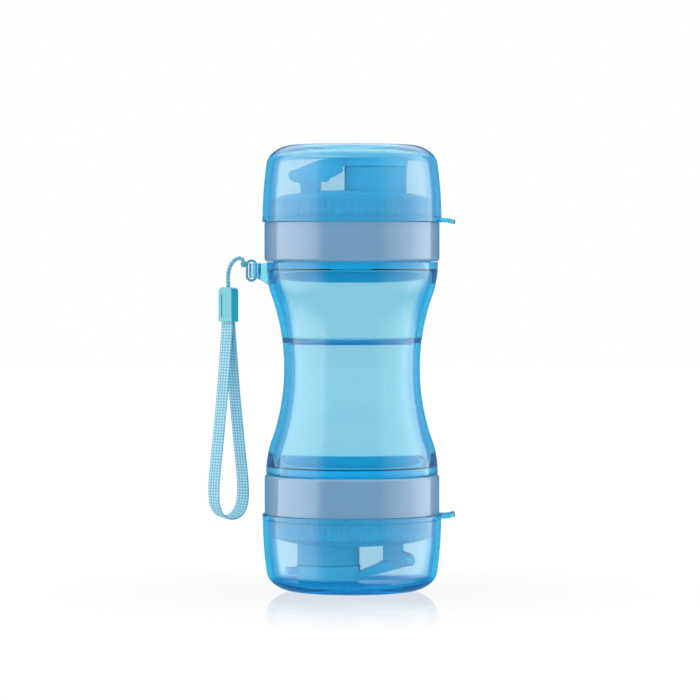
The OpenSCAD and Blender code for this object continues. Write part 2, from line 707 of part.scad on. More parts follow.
upper_chamber();
lower_chamber();
top_end() screw_lid(top_spout_z, barrel_r + 0.7);  // top_screw_lid
top_end() lid_gasket();  // top_lid_gasket
top_end() flip_cap(top_cap_h, 0.2, top_arm, true);  // top_flip_cap
top_end() flip_plug(top_cap_h);  // top_flip_plug
top_end() flip_pin();  // top_flip_pin
top_end() bowl(0);  // top_bowl
bottom_end() screw_lid(bottom_spout_z, 0.3);  // bottom_screw_lid
bottom_end() lid_gasket();  // bottom_lid_gasket
bottom_end() flip_cap(bottom_cap_h, 4.4, bottom_arm, false);  // bottom_flip_cap
bottom_end() flip_plug(bottom_cap_h);  // bottom_flip_plug
bottom_end() flip_pin();  // bottom_flip_pin
bottom_end() bowl(180);  // bottom_bowl
strap_hitch();
strap_cord();
slider_half(-1);  // strap_slider_front
slider_half(1);  // strap_slider_back
strap_ribbon();
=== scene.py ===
"""Dog travel bottle: a clear body, two screw lids with flip spouts, two clear bowls and a wrist strap.

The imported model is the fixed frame. The clear pieces are rebuilt here as smooth surfaces, cord and ribbon
get their braids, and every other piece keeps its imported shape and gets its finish.
The scene is in metres, and profiles are written in millimetres and brought to metres at the end. +Z is
up, and the bottle stands on its lower bowl at the origin.
"""
import math

import bpy
import numpy as np
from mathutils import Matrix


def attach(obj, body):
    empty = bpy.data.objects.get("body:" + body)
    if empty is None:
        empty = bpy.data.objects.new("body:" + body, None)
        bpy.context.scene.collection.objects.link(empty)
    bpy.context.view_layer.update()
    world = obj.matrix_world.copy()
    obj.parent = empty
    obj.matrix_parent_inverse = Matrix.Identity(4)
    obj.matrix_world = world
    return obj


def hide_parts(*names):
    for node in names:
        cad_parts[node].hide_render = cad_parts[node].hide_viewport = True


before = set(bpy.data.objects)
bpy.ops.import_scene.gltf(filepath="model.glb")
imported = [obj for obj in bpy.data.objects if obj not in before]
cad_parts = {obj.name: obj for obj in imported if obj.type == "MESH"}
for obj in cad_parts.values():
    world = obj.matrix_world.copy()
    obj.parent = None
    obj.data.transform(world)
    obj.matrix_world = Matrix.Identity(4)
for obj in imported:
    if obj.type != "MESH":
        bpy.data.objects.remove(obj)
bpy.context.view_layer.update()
mm = 0.001

# Camera
# The photograph is taken from the height of the bottle's shoulder through a long lens, so the upright
# lines stay nearly parallel and the lower bowl is seen a little from above.
camera_at = np.array([-1.0, -1850.0, 163.5]) * mm
aim_z = 120.5 * mm
camera = bpy.data.objects.new("camera", bpy.data.cameras.new("camera"))
camera.data.lens = 190
camera.data.sensor_width = 36
camera.data.clip_end = 50
camera.location = camera_at
camera.rotation_euler = (math.pi / 2 - math.atan2(camera_at[2] - aim_z, -camera_at[1]), 0, 0)
bpy.context.scene.collection.objects.link(camera)
bpy.context.scene.camera = camera


def add_node(tree, kind, settings=(), **inputs):
    """New shader node with some of its settings and inputs filled in.

    An input is given by its name with _ for a space, or by _ and its number. A socket as value is linked.
    """
    node = tree.nodes.new(kind)
    for name, value in dict(settings).items():
        setattr(node, name, value)
    for name, value in inputs.items():
        key = int(name[1:]) if name[0] == "_" and name[1:].isdigit() else name.replace("_", " ")
        if isinstance(value, bpy.types.NodeSocket):
            tree.links.new(value, node.inputs[key])
        else:
            node.inputs[key].default_value = value
    return node


def maths(tree, operation, *values):
    """Result socket of one Math node."""
    sockets = {f"_{i}": value for i, value in enumerate(values)}
    return add_node(tree, "ShaderNodeMath", {"operation": operation}, **sockets).outputs[0]


def colour_mix(tree, share, first, second):
    """Result socket of one Mix node between two colours."""
    node = add_node(tree, "ShaderNodeMix", {"data_type": "RGBA"}, Factor=share, A=first, B=second)
    return node.outputs["Result"]


def smooth_step(tree, value, start, end, low=0.0, high=1.0):
    """Socket that goes smoothly from low to high while the value goes from start to end."""
    return add_node(tree, "ShaderNodeMapRange", {"interpolation_type": "SMOOTHSTEP"}, Value=value,
                    From_Min=start, From_Max=end, To_Min=low, To_Max=high).outputs[0]


# Room
# Plain white to the eye and through clear plastic. In the gloss only stand two tall pale panels under a
# pale cover, with blue between them and below. Light that falls through clear plastic on a piece inside
# is raised, to make up for what the plastics of this file take away.

# Bearing in degrees to the right of the camera, and the brightness of the gloss there
panel_stops = [
    (-180, 0.1), (-150, 0.15), (-138, 0.3), (-119, 0.9), (-114, 3.2), (-95, 3.4), (-73, 3.2), (-50, 2.3),
    (-41, 0.6), (-32, 0.02), (32, 0.02), (41, 0.4), (51, 1.1), (74, 1.9), (100, 3.4), (124, 3.1), (128, 0.7),
    (143, 0.3), (155, 0.15), (180, 0.1),
]
between_panels = (0.07, 0.30, 0.50)
cover_below, cover_above = (0.12, 0.48, 0.75, 1), (2.0, 2.5, 2.6, 1)
cover_start, cover_full = 0.6, 0.85
lift_behind, lift_below = 0.4, 0.3
plain_light = (1, 1, 1, 1)
light_inside = (1.0, 3.6, 3.4, 1)

room = bpy.data.worlds.new("room")
bpy.context.scene.world = room
room.use_nodes = True
room.cycles.sampling_method = "NONE"
tree = room.node_tree
tree.nodes.clear()
direction = add_node(tree, "ShaderNodeTexCoord").outputs["Generated"]
parts = add_node(tree, "ShaderNodeSeparateXYZ", Vector=direction).outputs
toward_camera = maths(tree, "MULTIPLY", parts["Y"], -1.0)
turn = maths(tree, "ARCTAN2", parts["X"], toward_camera)
turn = maths(tree, "MULTIPLY_ADD", turn, 1 / math.tau, 0.5)
panels = add_node(tree, "ShaderNodeValToRGB", Fac=turn)
brightest = max(brightness for _, brightness in panel_stops)
marks = panels.color_ramp.elements
for degrees, _ in panel_stops[1:-1]:
    marks.new(degrees / 360 + 0.5)
for mark, (_, brightness) in zip(marks, panel_stops):
    mark.color = (brightness / brightest,) * 3 + (1,)
side_light = add_node(tree, "ShaderNodeVectorMath", {"operation": "SCALE"},
                      _0=panels.outputs["Color"], Scale=brightest).outputs[0]
side_light = add_node(tree, "ShaderNodeVectorMath", {"operation": "MAXIMUM"},
                      _0=side_light, _1=between_panels).outputs[0]
behind = maths(tree, "MAXIMUM", parts["Y"], 0.0)
slope = maths(tree, "MULTIPLY_ADD", behind, lift_behind, maths(tree, "ABSOLUTE", parts["Z"]))
slope = maths(tree, "MULTIPLY_ADD", maths(tree, "LESS_THAN", parts["Z"], 0.0), lift_below, slope)
overhead = smooth_step(tree, slope, cover_start, cover_full)
above = maths(tree, "GREATER_THAN", parts["Z"], 0.0)
gloss = colour_mix(tree, overhead, side_light, colour_mix(tree, above, cover_below, cover_above))
path = add_node(tree, "ShaderNodeLightPath").outputs
off_board = maths(tree, "MULTIPLY", path["Transparent Depth"], above)
off_board = maths(tree, "MULTIPLY", off_board, path["Is Glossy Ray"])
seen = maths(tree, "MAXIMUM", path["Is Camera Ray"], path["Is Transmission Ray"])
seen = maths(tree, "MINIMUM", maths(tree, "MAXIMUM", seen, off_board), 1.0)
scattered = maths(tree, "MINIMUM", path["Diffuse Depth"], 1.0)
light = colour_mix(tree, path["Is Glossy Ray"], plain_light, gloss)
wall = colour_mix(tree, scattered, plain_light, light_inside)
glow = add_node(tree, "ShaderNodeBackground", Color=colour_mix(tree, seen, light, wall))
tree.links.new(glow.outputs[0], add_node(tree, "ShaderNodeOutputWorld").inputs["Surface"])

# Edges that turn by more than this stay sharp
crease = math.radians(32)


def new_piece(name, points, faces):
    """Object whose mesh has the given points, one row each, with all faces smooth and sharp edges kept."""
    mesh = bpy.data.meshes.new(name)
    mesh.from_pydata(np.reshape(points, (-1, 3)).tolist(), [], [list(f) for f in faces])
    mesh.shade_smooth()
    mesh.set_sharp_from_angle(angle=crease)
    obj = bpy.data.objects.new(name, mesh)
    bpy.context.scene.collection.objects.link(obj)
    return obj


# Floor
# A white board under a clear film. The film only marks rays that come back off the board, so that the
# mirror image near the bottle's foot fades into plain white. Seen through the bottle, the board has a
# painted blue shadow near the middle, standing in for light that has come through blue plastic onto it.
floor_r, floor_sides = 4.0, 64
board_drop, film_drop = 0.4 * mm, 0.1 * mm
mirror, mirror_start, mirror_end = 0.32, 0.03, 0.26
# Painted blue shadow on the board under the bowl: its colour and the distances where it fades out
painted_blue_shadow, painted_shadow_start, painted_shadow_end = (0.01, 0.36, 0.70, 1), 0.0467, 0.065
board_share, board_glow, board_bounce = 0.93, 1.05, 0.7


def new_material(name):
    """Material with an empty node tree and its output, ready for a shader."""
    material = bpy.data.materials.new(name)
    material.use_nodes = True
    material.node_tree.nodes.clear()
    out = material.node_tree.nodes.new("ShaderNodeOutputMaterial")
    return material, material.node_tree, out


board_look, tree, out = new_material("board")
place = add_node(tree, "ShaderNodeTexCoord").outputs["Object"]
reach = add_node(tree, "ShaderNodeVectorMath", {"operation": "LENGTH"}, _0=place).outputs["Value"]
fade = smooth_step(tree, reach, mirror_start, mirror_end, mirror, 0.0)
path = add_node(tree, "ShaderNodeLightPath").outputs
seen = maths(tree, "MAXIMUM", path["Is Camera Ray"], path["Is Transmission Ray"])
# The painted blue shadow is seen only through the plastic, never straight from the camera
painted_shadow_off = maths(tree, "MAXIMUM", smooth_step(tree, reach, painted_shadow_start, painted_shadow_end), path["Is Camera Ray"])
scattered = maths(tree, "MINIMUM", path["Diffuse Depth"], 1.0)
board_inside = tuple(board_bounce * c for c in light_inside[:3]) + (1,)
lit = colour_mix(tree, scattered, colour_mix(tree, painted_shadow_off, painted_blue_shadow, plain_light), board_inside)
white = add_node(tree, "ShaderNodeEmission", Color=lit, Strength=board_glow)
paint = add_node(tree, "ShaderNodeBsdfDiffuse", Color=(0.9, 0.9, 0.9, 1))
shade = add_node(tree, "ShaderNodeMixShader", Fac=maths(tree, "MULTIPLY", seen, board_share),
                 _1=paint.outputs[0], _2=white.outputs[0])
shine = add_node(tree, "ShaderNodeBsdfAnisotropic", Roughness=0.04)
top = add_node(tree, "ShaderNodeMixShader", Fac=maths(tree, "MULTIPLY", fade, path["Is Camera Ray"]),
               _1=shade.outputs[0], _2=shine.outputs[0])
tree.links.new(top.outputs[0], out.inputs["Surface"])

film_look, tree, out = new_material("film")
tree.links.new(add_node(tree, "ShaderNodeBsdfTransparent").outputs[0], out.inputs["Surface"])
rim = np.linspace(0, math.tau, floor_sides + 1)[:-1]
for name, drop, look in (("board", board_drop, board_look), ("film", film_drop, film_look)):
    disc = np.stack([floor_r * np.cos(rim), floor_r * np.sin(rim), np.full(floor_sides, -drop)], 1)
    sheet = new_piece(name, disc, [range(floor_sides)])
    sheet.data.materials.append(look)
    sheet.visible_glossy = name == "film"

# Braids
# Cord and ribbon are braided from pale yarns that lean right and blue ones that lean left. One group of
# nodes gives both their relief and their colour from the piece's own map, which is in millimetres.
yarn_waves, yarn_relief = 7.0, 0.06
pale_start, pale_full = -0.15, 0.45
span_steps = 8


def braid_relief(across, along, pitch):
    """Height from 0 to 1 of a slanted plain braid.

    Two families of strands run at plus and minus 45 degrees. In each square of the weave one family lies
    on top, and its height is the sine of the way across that strand.
    """
    p, q = (across + along) / pitch * math.pi, (across - along) / pitch * math.pi
    on_top = np.sin(p) * np.sin(q) > 0
    return np.where(on_top, np.abs(np.sin(p)), np.abs(np.sin(q)))


braid = bpy.data.node_groups.new("braid", "ShaderNodeTree")
braid.interface.new_socket("Map", in_out="INPUT", socket_type="NodeSocketVector")
braid.interface.new_socket("Pitch", in_out="INPUT", socket_type="NodeSocketFloat")
braid.interface.new_socket("Dark", in_out="INPUT", socket_type="NodeSocketColor")
braid.interface.new_socket("Pale", in_out="INPUT", socket_type="NodeSocketColor")
braid.interface.new_socket("Color", in_out="OUTPUT", socket_type="NodeSocketColor")
braid.interface.new_socket("Height", in_out="OUTPUT", socket_type="NodeSocketFloat")
given = braid.nodes.new("NodeGroupInput").outputs
given_back = braid.nodes.new("NodeGroupOutput").inputs
parts = add_node(braid, "ShaderNodeSeparateXYZ", Vector=given["Map"]).outputs
step = maths(braid, "DIVIDE", math.pi, given["Pitch"])
lean_right = maths(braid, "MULTIPLY", maths(braid, "ADD", parts["X"], parts["Y"]), step)
lean_left = maths(braid, "MULTIPLY", maths(braid, "SUBTRACT", parts["X"], parts["Y"]), step)
sine_right = maths(braid, "SINE", lean_right)
sine_left = maths(braid, "SINE", lean_left)
both_ways = maths(braid, "MULTIPLY", sine_right, sine_left)
on_top = maths(braid, "GREATER_THAN", both_ways, 0.0)
height = add_node(braid, "ShaderNodeMix", Factor=on_top, A=maths(braid, "ABSOLUTE", sine_left),
                  B=maths(braid, "ABSOLUTE", sine_right)).outputs[0]
yarn = maths(braid, "SINE", maths(braid, "MULTIPLY", maths(braid, "ADD", lean_right, on_top), yarn_waves))
height = maths(braid, "MULTIPLY_ADD", yarn, yarn_relief, height)
braid.links.new(height, given_back["Height"])
pale_share = smooth_step(braid, both_ways, pale_start, pale_full)
braid.links.new(colour_mix(braid, pale_share, given["Dark"], given["Pale"]), given_back["Color"])


def braided(name, pitch, dark, pale):
    """Material of a braid of the given pitch in millimetres, on the piece's own map."""
    material, tree, out = new_material(name)
    place = add_node(tree, "ShaderNodeUVMap", {"uv_map": "braid"}).outputs[0]
    weave = add_node(tree, "ShaderNodeGroup", {"node_tree": braid},
                     Map=place, Pitch=pitch, Dark=dark, Pale=pale)
    bump = add_node(tree, "ShaderNodeBump", Strength=0.7, Distance=0.0002, Height=weave.outputs["Height"])
    skin = add_node(tree, "ShaderNodeBsdfPrincipled", Roughness=0.62, Sheen_Weight=0.08,
                    Base_Color=weave.outputs["Color"], Normal=bump.outputs[0])
    tree.links.new(skin.outputs[0], out.inputs["Surface"])
    return material


def smooth_route(points, steps):
    """Points of the Catmull-Rom curve through a route, with equal numbers of steps in each span."""
    ends = np.concatenate([[2 * points[0] - points[1]], points, [2 * points[-1] - points[-2]]])
    a, b, c, d = ends[:-3, None], ends[1:-2, None], ends[2:-1, None], ends[3:, None]
    t = (np.arange(steps) / steps)[None, :, None]
    curve = b + t / 2 * (c - a + t * (2 * a - 5 * b + 4 * c - d + t * (3 * (b - c) + d - a)))
    return np.concatenate([curve.reshape(-1, points.shape[1]), points[-1:]])


def evenly(points, gap):
    """The same line with its points a steady gap apart, their places along it and its unit ways."""
    lengths = np.concatenate([[0], np.cumsum(np.linalg.norm(np.diff(points, axis=0), axis=1))])
    at = np.linspace(0, lengths[-1], max(2, round(lengths[-1] / gap) + 1))
    line = np.stack([np.interp(at, lengths, column) for column in points.T], 1)
    way = np.gradient(line, axis=0)
    return line, at, way / np.linalg.norm(way, axis=1, keepdims=True)


def tube_faces(rings, sides, closed=False):
    """Faces of a grid of rings, with the two ends capped unless the rings themselves close."""
    count = rings if closed else rings - 1
    ring, side = np.meshgrid(np.arange(count), np.arange(sides), indexing="ij")
    a, b = ring * sides + side, ring * sides + (side + 1) % sides
    c, d = (ring + 1) % rings * sides + (side + 1) % sides, (ring + 1) % rings * sides + side
    walls = np.stack([a, b, c, d], -1).reshape(-1, 4).tolist()
    if closed:
        return walls
    last = (rings - 1) * sides
    return walls + [list(range(sides))[::-1], list(range(last, last + sides))]


def sweep(name, route, side_way, out_way, section, braid_map):
    """Piece whose section is carried along a route.

    A point of ring i is route_i plus its section values times the two unit ways there. The braid's map
    is given as the way along the route and the way round the section, and is kept in millimetres.
    """
    across, out = section[..., 0], section[..., 1]
    points = route[:, None] + across[..., None] * side_way[:, None] + out[..., None] * out_way[:, None]
    rings, sides = points.shape[:2]
    piece = new_piece(name, points, tube_faces(rings, sides))
    loops = np.empty(len(piece.data.loops), int)
    piece.data.loops.foreach_get("vertex_index", loops)
    along, around = braid_map
    uv = np.stack(np.broadcast_arrays(around, along[:, None]), -1)
    layer = piece.data.uv_layers.new(name="braid")
    layer.data.foreach_set("uv", (uv.reshape(-1, 2)[loops] / mm).ravel())
    return piece


# Cord of the strap
# A limp braided cord, 2.1 mm thick. It starts in the knot at the eyelet, rises over its peak and ends
# inside the slider.
cord_d = 2.1 * mm
cord_relief = 0.06 * mm
cord_sides, cord_step = 28, 0.22 * mm
cord_route = np.array([
    [-54.0, 163.3], [-54.5, 165.1], [-55.3, 166.1], [-56.4, 166.4], [-57.6, 166.2], [-58.9, 165.4],
    [-60.1, 164], [-61.1, 162.2], [-61.8, 160], [-62.1, 157.6], [-62.1, 155], [-61.95, 152.1],
    [-61.9, 146.2], [-61.9, 142.6],
]) * mm
line, along, way = evenly(smooth_route(cord_route, span_steps), cord_step)
line = np.stack([line[:, 0], np.zeros(len(line)), line[:, 1]], 1)
out_way = np.stack([-way[:, 1], np.zeros(len(line)), way[:, 0]], 1)
side_way = np.broadcast_to([0.0, 1.0, 0.0], line.shape)
angle = np.arange(cord_sides) / cord_sides * math.tau
around = angle / math.tau * math.pi * cord_d
cord_pitch = math.pi * cord_d / 4
relief = braid_relief(around, along[:, None], cord_pitch)
cord_rad = cord_d / 2 - cord_relief * (1 - relief)
section = np.stack([cord_rad * np.sin(angle), cord_rad * np.cos(angle)], -1)
cord_look = braided("cord_braid", cord_pitch / mm, (0.12, 0.45, 0.62, 1), (0.34, 0.70, 0.84, 1))
strap_cord = sweep("strap_cord_braid", line, side_way, out_way, section, (along, around))
strap_cord.data.materials.append(cord_look)
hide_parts("strap_cord")
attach(strap_cord, "strap")

# Ribbon of the strap
# A flat braid, 7.6 mm wide, folded into a long loop whose two ends are held in the slider. Its plane is
# turned 42 degrees from the front, and at the foot the far edge hangs lower than the near one.
strap_x = -61.9 * mm
strap_yaw = math.radians(42)
ribbon_w = 7.6 * mm
ribbon_t = 0.9 * mm
ribbon_relief = 0.10 * mm
ribbon_step, ribbon_points = 0.3 * mm, 29
foot_tilt, foot_span = math.radians(10), 16 * mm
ribbon_half = np.array([
    [0.6, 140], [0.6, 136], [0.8, 133], [1.3, 128], [2, 121], [2.9, 112], [3.9, 103], [5, 94],
    [6.2, 85], [7.4, 76], [8.7, 67], [9.8, 59], [10.5, 52], [10.4, 46.5], [9.2, 42], [6.9, 38.8], [3.7, 37],
])
ribbon_route = np.concatenate([ribbon_half, [[0, 36.5]], ribbon_half[::-1] * [-1, 1]]) * mm
line, along, way = evenly(smooth_route(ribbon_route, span_steps), ribbon_step)
plane_way = np.array([-math.sin(strap_yaw), -math.cos(strap_yaw), 0])
width_way = np.array([math.cos(strap_yaw), -math.sin(strap_yaw), 0])
up = np.array([0, 0, 1.0])
out_way = -way[:, 1:] * plane_way + way[:, :1] * up
route = np.array([strap_x, 0, 0]) + line[:, :1] * plane_way + line[:, 1:] * up
from_foot = along - along[-1] / 2
tilt = foot_tilt * np.exp(-(from_foot / foot_span) ** 2)
side_way = np.cos(tilt)[:, None] * width_way + np.sin(tilt)[:, None] * out_way
flat_way = np.cos(tilt)[:, None] * out_way - np.sin(tilt)[:, None] * width_way
lap = np.linspace(-1, 1, ribbon_points)
face = np.sin(lap * math.pi / 2) * (ribbon_w / 2)
belly = (1 - np.abs(lap) ** 6) ** 0.5
ribbon_pitch = ribbon_w / 4.2
ribbon_lean = 1.25
relief = braid_relief(face, along[:, None] * ribbon_lean, ribbon_pitch)
thick = belly * (ribbon_t / 2 - ribbon_relief * (1 - relief))
top_side = np.stack([np.broadcast_to(face, thick.shape), thick], -1)
section = np.concatenate([top_side, (top_side * [1, -1])[:, -2:0:-1]], 1)
around = np.concatenate([face, face[-2:0:-1]])
ribbon_look = braided("ribbon_braid", ribbon_pitch / mm, (0.19, 0.56, 0.76, 1), (0.54, 0.84, 0.94, 1))
ribbon = sweep("strap_ribbon_braid", route, side_way, flat_way, section, (along * ribbon_lean, around))
ribbon.data.materials.append(ribbon_look)
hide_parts("strap_ribbon")
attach(ribbon, "strap")

# Clear plastic
# Body and bowls are moulded in one clear blue plastic. Thin walls look pale, and the thick rings and the
# edges, where light runs along inside the wall, look deep blue. On the edges that blue is a painted shade,
# set by their slant.
plastic_ior = 1.49
# Painted deep blue edge shade: the slant where it starts and is full, and its colour
painted_edge_start, painted_edge_full = 0.46, 0.62
haze_share = 0.05
painted_edge_shade = (0.008, 0.42, 0.82, 1)
haze_tint = (0.04, 0.62, 0.92, 1)
tint = (0.03, 0.87, 0.96, 1)
tint_density = 134


def clear_plastic(name, skin_tint, roughness):
    """Clear plastic: a refracting skin, a tint that grows with the way through it, and a little haze.

    The skin has the faint waves of moulding, and its colour goes over to a painted deep blue edge shade
    where it slants away from the view.
    """
    material, tree, out = new_material(name)
    place = add_node(tree, "ShaderNodeTexCoord").outputs["Object"]
    flow = add_node(tree, "ShaderNodeTexNoise", Vector=place, Scale=45.0, Detail=1.0)
    bump = add_node(tree, "ShaderNodeBump", Strength=0.5, Distance=0.000008, Height=flow.outputs[0])
    haze = add_node(tree, "ShaderNodeTexNoise", Vector=place, Scale=300.0, Detail=3.0)
    rough = add_node(tree, "ShaderNodeMapRange", Value=haze.outputs[0],
                     To_Min=roughness * 0.5, To_Max=roughness * 1.5)
    # Painted edge shade, set by how far the skin slants from the view
    slant = add_node(tree, "ShaderNodeLayerWeight", Blend=0.5).outputs["Facing"]
    hue = colour_mix(tree, smooth_step(tree, slant, painted_edge_start, painted_edge_full), skin_tint, painted_edge_shade)
    skin = add_node(tree, "ShaderNodeBsdfPrincipled", Base_Color=hue, IOR=plastic_ior,
                    Roughness=rough.outputs[0], Normal=bump.outputs[0], Transmission_Weight=1.0)
    depth = add_node(tree, "ShaderNodeVolumeAbsorption", Color=tint, Density=tint_density)
    cloudy = add_node(tree, "ShaderNodeBsdfTranslucent", Color=haze_tint)
    both = add_node(tree, "ShaderNodeMixShader", Fac=haze_share, _1=skin.outputs[0], _2=cloudy.outputs[0])
    tree.links.new(both.outputs[0], out.inputs["Surface"])
    tree.links.new(depth.outputs[0], out.inputs["Volume"])
    return material


def lathe(name, radius, height, sides):
    """Piece turned from a profile: a point is its radius times the cosine and sine of its side's angle.

    The radius is one value a profile point, or one for each point and side. Where the profile starts and
    ends on the axis it closes in two poles, and otherwise its last point joins its first.
    """
    angle = np.arange(sides) / sides * math.tau
    radius = radius[:, None] if np.ndim(radius) == 1 else radius
    poled = not np.any(radius[0])
    ring_r, ring_z = (radius[1:-1], height[1:-1]) if poled else (radius, height)
    rings = len(ring_z)
    points = np.stack([ring_r * np.cos(angle), ring_r * np.sin(angle),
                       np.broadcast_to(ring_z[:, None], (rings, sides))], -1).reshape(-1, 3)
    faces = tube_faces(rings, sides, closed=not poled)
    if poled:
        faces = faces[:-2]
        poles = np.array([[0, 0, height[0]], [0, 0, height[-1]]])
        points = np.concatenate([points, poles])
        first, last, near = rings * sides, rings * sides + 1, (rings - 1) * sides
        faces += [[first, (i + 1) % sides, i] for i in range(sides)]
        faces += [[last, near + i, near + (i + 1) % sides] for i in range(sides)]
    return new_piece(name, points, faces)


def face_outwards(piece):
    """Turns the whole closed mesh so that its faces point out, judged by its signed volume."""
    mesh = piece.data
    mesh.calc_loop_triangles()
    corners = np.empty(len(mesh.loop_triangles) * 3, int)
    mesh.loop_triangles.foreach_get("vertices", corners)
    places = np.empty(len(mesh.vertices) * 3)
    mesh.vertices.foreach_get("co", places)
    a, b, c = places.reshape(-1, 3)[corners.reshape(-1, 3)].transpose(1, 0, 2)
    if np.einsum("ij,ij->", a, np.cross(b, c)) < 0:
        mesh.flip_normals()


def joined(piece, other):
    """One closed mesh of two that overlap, by an exact union."""
    union = piece.modifiers.new("union", "BOOLEAN")
    union.operation = "UNION"
    union.solver = "EXACT"
    union.object = other
    mesh = bpy.data.meshes.new_from_object(piece.evaluated_get(bpy.context.evaluated_depsgraph_get()))
    piece.modifiers.clear()
    old, piece.data = piece.data, mesh
    mesh.name = piece.name
    bpy.data.meshes.remove(old)
    bpy.data.objects.remove(other)
    mesh.shade_smooth()
    mesh.set_sharp_from_angle(angle=crease)
    return piece


def arc(x, z, radius, start, end, steps):
    """Points of a circular arc in the profile plane, from one angle to another in degrees."""
    a = np.radians(np.linspace(start, end, steps))
    return np.stack([x + radius * np.cos(a), z + radius * np.sin(a)], 1)


# Chambers
# Two injection-moulded shells, welded 12.8 mm above the waist. The upper one has its own floor and the
# eyelet, and both end in a thick ring and a threaded neck.
sides = 256
low_plane, high_plane = 58.5, 164.5
waist_z = (low_plane + high_plane) / 2
half_h = (high_plane - low_plane) / 2
joint_rise = 12.8
body_wall = 2.6
waist_r, waist_curve_r = 34.0, 108.0
end_r, end_band = 43.0, 1.0
flare_h, flare_r = half_h - end_band, end_r - waist_r
arc_sum = (flare_r ** 2 + flare_h ** 2) / (2 * flare_r)
end_curve_r = arc_sum - waist_curve_r
arc_switch = waist_curve_r * flare_h / arc_sum
neck_r, bore_r, neck_h = 39.4, 36.5, 16.5
thread_lead, thread_turns, thread_depth, thread_root, thread_crest = 5.0, 1.25, 1.2, 2.6, 1.0
thread_start = 4.5
ring_h, ring_taper, ring_step = 4.0, 6.0, 2.2
# Corner between bore and ring: way out from the bore, and way up from the ring's far edge
ring_bevel = [(0, 0.8), (0.5, 0.2), (ring_step, 0)]
rim_chamfer, bore_chamfer, edge_round = 0.6, 0.4, 0.4
neck_rings, neck_start = 46, 0.15
run_out_turns = 0.08
weld_gap = 0.03


def body_r(z):
    """Radius of the body: a hollow arc about the waist that runs tangent into a full arc at each end."""
    a = np.minimum(np.abs(z), flare_h)
    hollow = waist_r + waist_curve_r - np.sqrt(waist_curve_r ** 2 - np.minimum(a, arc_switch) ** 2)
    full = end_r - end_curve_r + np.sqrt(end_curve_r ** 2 - (flare_h - a) ** 2)
    return np.where(a < arc_switch, hollow, full)


def body_curve(start, end, inset, steps):
    """Points of the body's profile between two heights from the waist, drawn in by an inset."""
    z = np.linspace(start, end, steps)
    return np.stack([body_r(z) - inset, z], 1)


def thread_rise(angle, w):
    """Height of the screw rib on a neck, at an angle and a height w above the end plane.

    The rib's middle climbs one lead a turn. Its section is a trapezoid, and both ends run out.
    """
    rise = np.zeros(np.broadcast(angle, w).shape)
    for turn_no in range(math.ceil(thread_turns)):
        swept = angle / math.tau + turn_no
        middle = thread_start + thread_lead * swept
        run_out = np.clip(np.minimum(swept, thread_turns - swept) / run_out_turns, 0, 1)
        flank = (thread_root / 2 - np.abs(w - middle)) / ((thread_root - thread_crest) / 2)
        rise = np.maximum(rise, thread_depth * run_out * np.clip(flank, 0, 1))
    return rise


def chamber(outer, inner, end):
    """Profile of one chamber, and its radii all round with the thread; end is 1 above and -1 below."""
    rim_z = half_h + neck_h
    neck_z = np.linspace(neck_start, neck_h - rim_chamfer, neck_rings)
    neck = np.stack([np.full(neck_rings, neck_r), half_h + neck_z], 1)
    shoulder = arc(end_r - edge_round, half_h - edge_round, edge_round, 0, 90, steps=5)
    rim = [[neck_r - rim_chamfer, rim_z], [bore_r + bore_chamfer, rim_z], [bore_r, rim_z - bore_chamfer]]
    bore = [[bore_r + out, half_h - ring_h + up] for out, up in ring_bevel]
    profile = np.concatenate([outer, shoulder, [[neck_r + 0.1, half_h]], neck, rim, bore, inner])
    angle = np.arange(sides) / sides * math.tau
    w = profile[:, 1] - half_h
    on_neck = (np.abs(profile[:, 0] - neck_r) < 1e-6)[:, None]
    own_angle = angle if end > 0 else (math.pi - angle) % math.tau
    radius = profile[:, :1] + on_neck * thread_rise(own_angle, w[:, None])
    return profile, radius


divider_t, spigot_h = 1.4, 0.6
spigot_gap, spigot_chamfer, weld_groove = 0.1, 0.15, 0.3
weld_z = joint_rise + weld_gap
under_z = joint_rise - spigot_h
inner_floor = under_z + divider_t
corner = 2.5
corner_z = inner_floor + corner
touch_z = corner_z / (1 + corner / waist_curve_r)
wall_lean = math.asin(touch_z / waist_curve_r)
corner_r = body_r(np.array(touch_z)) - body_wall - corner * math.cos(wall_lean)
inner = np.concatenate([
    body_curve(half_h - ring_h - ring_taper, touch_z, inset=body_wall, steps=60)[:-1],
    arc(corner_r, corner_z, corner, -math.degrees(wall_lean), -90, steps=24),
])
profile, radius = chamber(body_curve(weld_z, half_h - edge_round, inset=0, steps=60), inner, end=1)
floor_rings = np.array([[corner_r * 0.5, inner_floor], [0, inner_floor]])
spigot_r = body_r(np.array(joint_rise)) - body_wall - spigot_gap
under = np.array([
    [0, under_z], [spigot_r * 0.5, under_z], [spigot_r - spigot_chamfer, under_z],
    [spigot_r, under_z + spigot_chamfer], [spigot_r, weld_z],
    [body_r(np.array(weld_z)) - weld_groove, weld_z],
])
radius = np.concatenate([np.broadcast_to(under[:, :1], (len(under), sides)), radius,
                         np.broadcast_to(floor_rings[:, :1], (len(floor_rings), sides))])
height = np.concatenate([under[:, 1], profile[:, 1], floor_rings[:, 1]])
upper = lathe("upper_chamber_shell", radius * mm, (height + waist_z) * mm, sides)
face_outwards(upper)

